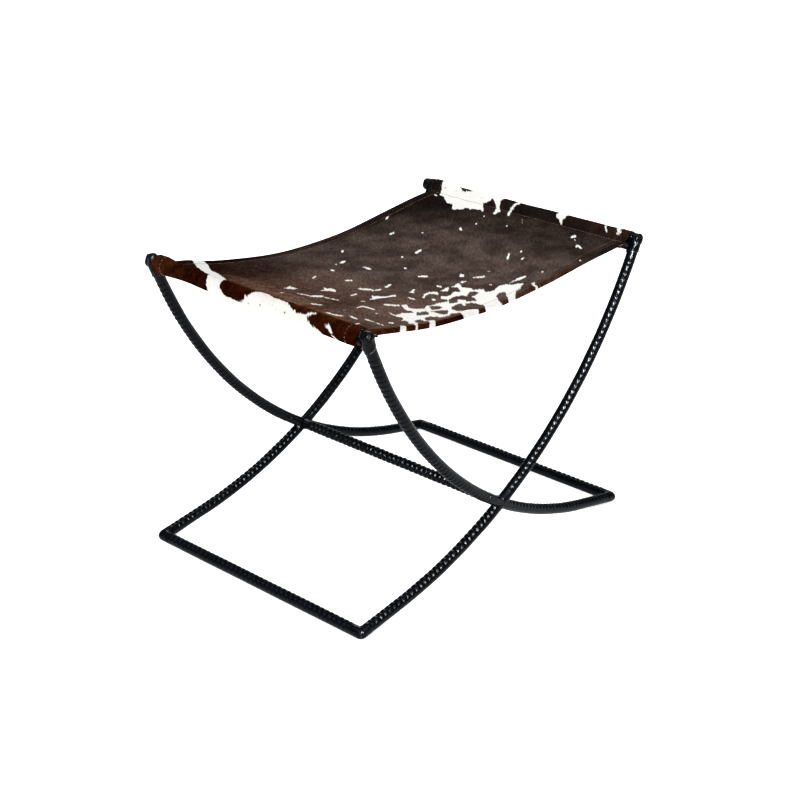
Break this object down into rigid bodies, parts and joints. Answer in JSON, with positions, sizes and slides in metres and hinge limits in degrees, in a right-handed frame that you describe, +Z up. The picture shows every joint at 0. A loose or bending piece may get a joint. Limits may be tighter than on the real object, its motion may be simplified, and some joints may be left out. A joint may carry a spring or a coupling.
{
  "type": "x frame stool",
  "caption": "Stool with a sling seat of spotted hair-on hide hung between the top rails of a curved, crossed steel frame covered in laced black leather.",
  "frame": {"origin": "on the floor, under the middle of the stool", "axes": "+X across the span of the sling, towards the right rail; +Y along the rails, from the front pair of legs to the rear pair; +Z up"},
  "size_m": [0.636, 0.4284, 0.4556],
  "materials": {
    "steel": "plain mill steel, hidden under the leather",
    "frame_leather": "black, smooth, half glossy",
    "lacing": "black lace, glossy on its ridges",
    "seat_hide": "short glossy hair, dark brown with cream-white spots",
    "thread": "tan waxed thread"
  },
  "bodies": {
    "root": {"left_top_rail": "steel", "right_top_rail": "steel", "left_base_rail": "steel", "right_base_rail": "steel", "stretcher_rod": "steel", "front_long_leg_rod": "steel", "front_cross_leg_upper_rod": "steel", "front_cross_leg_lower_rod": "steel", "rear_long_leg_rod": "steel", "rear_cross_leg_upper_rod": "steel", "rear_cross_leg_lower_rod": "steel", "left_base_rail_leather": "frame_leather", "right_base_rail_leather": "frame_leather", "stretcher_leather": "frame_leather", "front_long_leg_leather": "frame_leather", "front_cross_leg_upper_leather": "frame_leather", "front_cross_leg_lower_leather": "frame_leather", "front_left_leg_cap": "frame_leather", "front_right_leg_cap": "frame_leather", "rear_long_leg_leather": "frame_leather", "rear_cross_leg_upper_leather": "frame_leather", "rear_cross_leg_lower_leather": "frame_leather", "rear_left_leg_cap": "frame_leather", "rear_right_leg_cap": "frame_leather", "left_base_rail_lacing": "lacing", "right_base_rail_lacing": "lacing", "stretcher_lacing": "lacing", "front_long_leg_upper_lacing": "lacing", "front_long_leg_lower_lacing": "lacing", "front_cross_leg_upper_lacing": "lacing", "front_cross_leg_lower_lacing": "lacing", "rear_long_leg_upper_lacing": "lacing", "rear_long_leg_lower_lacing": "lacing", "rear_cross_leg_upper_lacing": "lacing", "rear_cross_leg_lower_lacing": "lacing", "seat_hide": "seat_hide", "front_hem_thread": "thread", "rear_hem_thread": "thread", "left_pocket_thread": "thread", "right_pocket_thread": "thread"}
  },
  "joints": []
}
